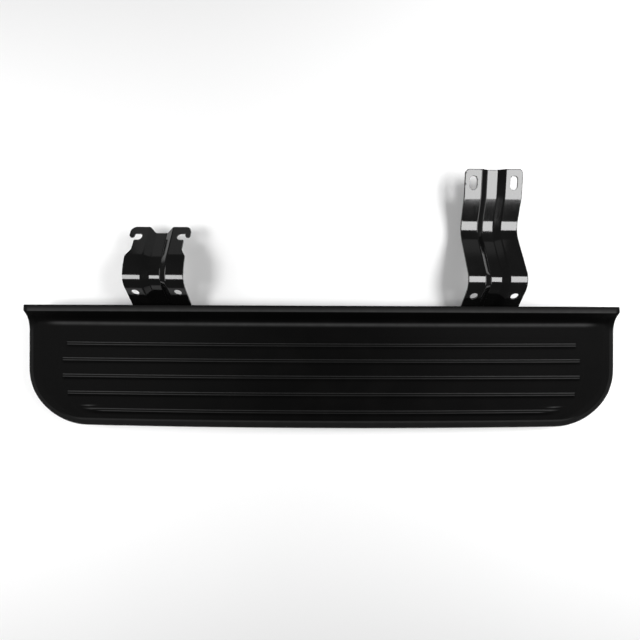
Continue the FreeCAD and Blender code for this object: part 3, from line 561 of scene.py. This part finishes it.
def inside(points, loops):
    """Whether each point is inside an odd number of loops: a ray to the right crosses their edges."""
    crossings = np.zeros(len(points), int)
    for loop in loops:
        start, end = loop, np.roll(loop, -1, 0)
        above = start[None, :, 1] > points[:, 1:2]
        beyond = end[None, :, 1] > points[:, 1:2]
        slope = (end[:, 0] - start[:, 0]) / np.where(end[:, 1] == start[:, 1], 1e-9, end[:, 1] - start[:, 1])
        at = start[None, :, 0] + (points[:, 1:2] - start[None, :, 1]) * slope
        crossings += ((above != beyond) & (points[:, :1] < at)).sum(1)
    return crossings % 2 == 1


def nearest(points, loops):
    """How far each point is from the closest corner of any loop."""
    corners = np.concatenate(loops)
    return np.sqrt(((points[:, None] - corners[None]) ** 2).sum(-1)).min(1)


def filled(loop, gap):
    """The same loop with its long runs cut into pieces no longer than about gap."""
    start, end = loop, np.roll(loop, -1, 0)
    cuts = np.maximum(np.ceil(np.hypot(*(end - start).T) / gap).astype(int), 1)
    runs = zip(start, end, cuts)
    return np.concatenate([a + (b - a) * np.linspace(0, 1, n + 1)[:-1, None] for a, b, n in runs])


def pressed_strip(name, node, bend_line, outline, openings):
    """A flat blank cut to its outline, laid along the bend line: a point (across, along) goes to the
    line's place at that length, lowered along the line's normal by the bead's depth at that offset."""
    low, high = (np.array(corner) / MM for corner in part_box(node))
    middle = (low[0] + high[0]) / 2
    line = rounded_path(bend_line, 60)
    gaps = np.hypot(*np.diff(line, axis=0).T)
    line = line[np.insert(gaps > 1e-6, 0, True)]
    length = np.insert(np.cumsum(np.hypot(*np.diff(line, axis=0).T)), 0, 0)
    heading = np.arctan2(*np.diff(line, axis=0).T[::-1])
    at_middle = (length[1:] + length[:-1]) / 2
    bead = rounded_path([(0, -6.5, 0), (9.5, -6.5, 5.0), (21.0, 0, 8.0), (70, 0, 0)], 8)

    def along(y):
        return np.interp(y, line[:, 0], length)

    loops = [np.stack([loop[:, 0], along(loop[:, 1])], -1) for loop in outline]
    loops += [ring(x, along(y), radius, run) for x, y, radius, run in openings]
    loops = [filled(loop, 4.0) for loop in loops]

    side = np.array([0, 2.5, 5.0, *bead[1:-1, 0], 26.0, 30.0, 34.0, 38.0, 42.0, 46.0, 50.0])
    columns = np.concatenate([-side[:0:-1], side])
    turning = np.abs(np.gradient(np.interp(np.arange(0, length[-1], 1.0), at_middle, heading))) > 0.004
    rows = np.arange(0, length[-1], 1.0)[turning | (np.arange(len(turning)) % 5 == 0)]
    rows = rows[(np.arange(len(rows)) % 2 == 0) | (np.gradient(rows) > 2)]
    across, lengths = np.meshgrid(columns, rows)
    points = np.stack([across.ravel(), lengths.ravel()], -1)
    points = points[inside(points, loops)]
    points = points[nearest(points, loops) > 1.6]

    border = np.concatenate(loops)
    edges, start = [], 0
    for loop in loops:
        count = np.arange(len(loop))
        edges += np.stack([start + count, start + (count + 1) % len(loop)], -1).tolist()
        start += len(loop)
    flat = np.concatenate([border, points])
    made = delaunay_2d_cdt([Vector(place) for place in flat.tolist()], edges, [], 0, 1e-4)
    flat, faces = np.array([tuple(place) for place in made[0]]), np.array(made[2])
    faces = faces[inside(flat[faces].mean(1), loops)]

    turn = np.interp(flat[:, 1], at_middle, heading)
    depth = np.interp(np.abs(flat[:, 0]), bead[:, 0], bead[:, 1])
    y = np.interp(flat[:, 1], length, line[:, 0]) - depth * np.sin(turn)
    z = np.interp(flat[:, 1], length, line[:, 1]) + depth * np.cos(turn)
    places = np.stack([middle + flat[:, 0], y, z], -1)
    piece = surface(name, places, faces, gloss_coat, node)
    wall = piece.modifiers.new("sheet", "SOLIDIFY")
    wall.thickness, wall.offset = 3.0 * MM, -1.0
    edge = piece.modifiers.new("edge", "BEVEL")
    edge.width, edge.segments, edge.angle_limit = 0.5 * MM, 2, math.radians(50)
    edge.use_clamp_overlap = True
    normals = piece.modifiers.new("normals", "WEIGHTED_NORMAL")
    normals.weight = 60
    return piece


def mirrored(corners):
    """Half an outline and its mirror image."""
    return spread_arcs(corners + [(-x, y, radius) for x, y, radius in corners[::-1]])


gloss_coat = gloss_black()
FOOT_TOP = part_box("front_rail")[0].z / MM
FOOT_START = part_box("hook_bracket")[0].y / MM
BOLT_ROWS = (-40.0, 60.0)
foot_holes = [(side * 36.0, row, 4.5, 0.0) for side in (-1, 1) for row in BOLT_ROWS]
hook_outline = mirrored(
    [(54.4, FOOT_START, 8.0), (54.4, 108.6, 0), (52.2, 151.0, 0), (52.2, 215.0, 7.0),
     (44.2, 227.0, 7.0), (44.2, 245.7, 1.4),
     (31.1, 245.7, 6.6), (31.1, 259.2, 6.6), (45.4, 259.2, 1.4), (45.4, 251.5, 4.3),
     (54.4, 251.5, 4.3), (54.4, 272.0, 10.0), (20.0, 272.0, 5.0), (11.0, 264.0, 5.0)]
)
pressed_strip(
    "hook_bracket_pressing", "hook_bracket",
    [(FOOT_START, FOOT_TOP, 0), (108.6, FOOT_TOP, 18.0), (168.3, 43.1, 28.0),
     (204.0, 38.8, 90.0), (275.0, -1.0, 0)],
    [hook_outline],
    foot_holes + [(side * 37.5, 151.0, 6.75, 0.0) for side in (-1, 1)],
)
plate_end = 373.2  # short of the CAD end, as the bead leans past it
pressed_strip(
    "slotted_bracket_pressing", "slotted_bracket",
    [(FOOT_START, FOOT_TOP, 0), (103.0, FOOT_TOP, 18.0), (170.0, 43.4, 30.0), (268.3, -7.7, 45.0),
     (325.0, 12.7, 30.0), (374.5, 18.7, 0)],
    [mirrored([(53.0, FOOT_START, 8.0), (53.0, 103.0, 0), (51.5, 147.0, 0), (51.5, plate_end, 8.0)])],
    foot_holes + [(side * 36.0, 147.0, 6.75, 0.0) for side in (-1, 1)]
    + [(side * 36.0, 349.4, 6.5, 5.5) for side in (-1, 1)],
)


# ------------------------------------------------------------------ rails and cross members
# Rolled hat sections and pressed straps in 2 mm steel, powder coated satin black after forming. The
# coat has an orange peel, pales with dust and wears through to grey at the bends' edges.
coat = Finish("satin_powder_coat", Specular_IOR_Level=0.45)
pebble = coat.noise(900.0, 2.0)
dust = coat.noise(18.0, 5.0).clamped(0.4, 0.78)
worn = coat.node("ShaderNodeNewGeometry", {}, {}, "Pointiness").clamped(0.52, 0.6)
coat_colour = coat.blend(dust, grey(0.012), grey(0.024, 0.03))
coat.feed("Base Color", coat.blend(worn * 0.7, coat_colour, grey(0.11)))
coat.feed("Roughness", 0.38 + dust * 0.12 + pebble * 0.08)
coat.raised(pebble, 0.00003, 0.6)
coat.cover("front_rail", "rear_rail", "left_cross_member", "centre_cross_member", "right_cross_member")


# ------------------------------------------------------------------ bolts, washers, nuts and screws
# Cold-headed steel fasteners with a clear zinc plate: a spangled, slightly streaked silver that dulls
# in patches and takes small brown specks where the plate is thin.
zinc = Finish("clear_zinc_plate", Metallic=1.0)
spangle = zinc.cells(1400.0)
streak = zinc.noise(700.0, 3.0)
dull = zinc.noise(90.0, 4.0).clamped(0.42, 0.75)
rust = 1 - zinc.cells(310.0).clamped(0.05, 0.16)
zinc_colour = zinc.blend(dull, grey(0.56), grey(0.40, 0.03))
zinc_colour = zinc.blend(spangle * 0.2, zinc_colour, grey(0.68, -0.02))
zinc.feed("Base Color", zinc.blend(rust * 0.45, zinc_colour, (0.19, 0.10, 0.05, 1.0)))
zinc.feed("Roughness", 0.24 + dull * 0.2 + streak * 0.06 + rust * 0.2)
zinc.raised(streak, 0.00002, 0.5)
for bracket in ("hook", "slotted"):
    zinc.cover(*(f"{bracket}_foot_{kind}" for kind in ("bolts", "spring_washers", "washers")))
for rail in ("front", "rear"):
    zinc.cover(f"{rail}_rail_weld_nuts", f"{rail}_rail_screws")


# ------------------------------------------------------------------ foam tapes
# Strips of closed-cell foam tape, 1 mm thick, stuck along the rails' brims so that the moulding doesn't
# rattle on the steel. The skin shows fine pores and darker pressed places.
foam = Finish("closed_cell_foam", Specular_IOR_Level=0.2)
pores = foam.cells(1900.0).clamped(0.1, 0.5)
pressed = foam.noise(35.0, 3.0).clamped(0.4, 0.7)
foam_colour = foam.blend(pressed, grey(0.055), grey(0.032))
foam.feed("Base Color", foam.blend(1 - pores, foam_colour, grey(0.018)))
foam.feed("Roughness", 0.8 + pressed * 0.1)
foam.raised(pores, 0.00008, 0.8)
foam.cover("front_rail_tape", "rear_rail_tape")


# ------------------------------------------------------------------ floor, lights and camera
# A plain matt white floor, seen from straight above. A softbox over each bracket, a wide fill at each
# side and a dim panel behind light it.
def pale_floor():
    """A plain matt white sheet that the step lies on."""
    finish = Finish("pale_floor", Roughness=0.9, Specular_IOR_Level=0.1)
    cloud = finish.noise(3.0)
    finish.feed("Base Color", finish.blend(cloud, grey(0.92), grey(0.94)))
    return finish.material


FLOOR_HALF = 4.0
floor_mesh = bpy.data.meshes.new("floor")
floor_level = cad_box[0].z
floor_mesh.from_pydata(
    [(sx * FLOOR_HALF, sy * FLOOR_HALF, floor_level) for sx, sy in ((-1, -1), (1, -1), (1, 1), (-1, 1))],
    [],
    [(0, 1, 2, 3)],
)
floor_mesh.materials.append(pale_floor())
floor = bpy.data.objects.new("floor", floor_mesh)
bpy.context.scene.collection.objects.link(floor)


def soft_light(name, place, target, width, depth, power):
    """A rectangular area light at a place, turned to face a target."""
    lamp = bpy.data.lights.new(name, "AREA")
    lamp.shape = "RECTANGLE"
    lamp.size, lamp.size_y = width, depth
    lamp.energy = power
    light = bpy.data.objects.new(name, lamp)
    light.location = place
    light.rotation_euler = (Vector(target) - Vector(place)).to_track_quat("-Z", "Y").to_euler()
    bpy.context.scene.collection.objects.link(light)
    return light


soft_light("left_softbox", (-0.74, 0.05, 1.0), (-0.74, 0.05, 0.0), 0.42, 0.50, 8.5)
soft_light("right_softbox", (0.74, 0.26, 1.0), (0.74, 0.26, 0.0), 0.42, 0.68, 12.5)
soft_light("rear_wall", (0, 2.6, 0.75), (0, 0.0, 0.75), 3.0, 0.8, 2.3)
for side, name in ((-1, "left_fill"), (1, "right_fill")):
    soft_light(name, (side * 2.2, 0.1, 1.6), (side * 2.2, 0.1, 0.0), 1.0, 2.4, 29.0)

world = bpy.data.worlds.new("studio")
world.use_nodes = True
world.node_tree.nodes["Background"].inputs["Color"].default_value = (0.10, 0.10, 0.10, 1.0)
bpy.context.scene.world = world
bpy.context.scene.view_settings.view_transform = "Standard"

camera_data = bpy.data.cameras.new("camera")
camera_data.lens = 22.5
camera_data.sensor_width = 36.0
camera = bpy.data.objects.new("camera", camera_data)
camera.location = (-0.0027, 0.104, 0.7273)
camera.rotation_euler = (0.0, 0.0, math.radians(0.24))
bpy.context.scene.collection.objects.link(camera)
bpy.context.scene.camera = camera
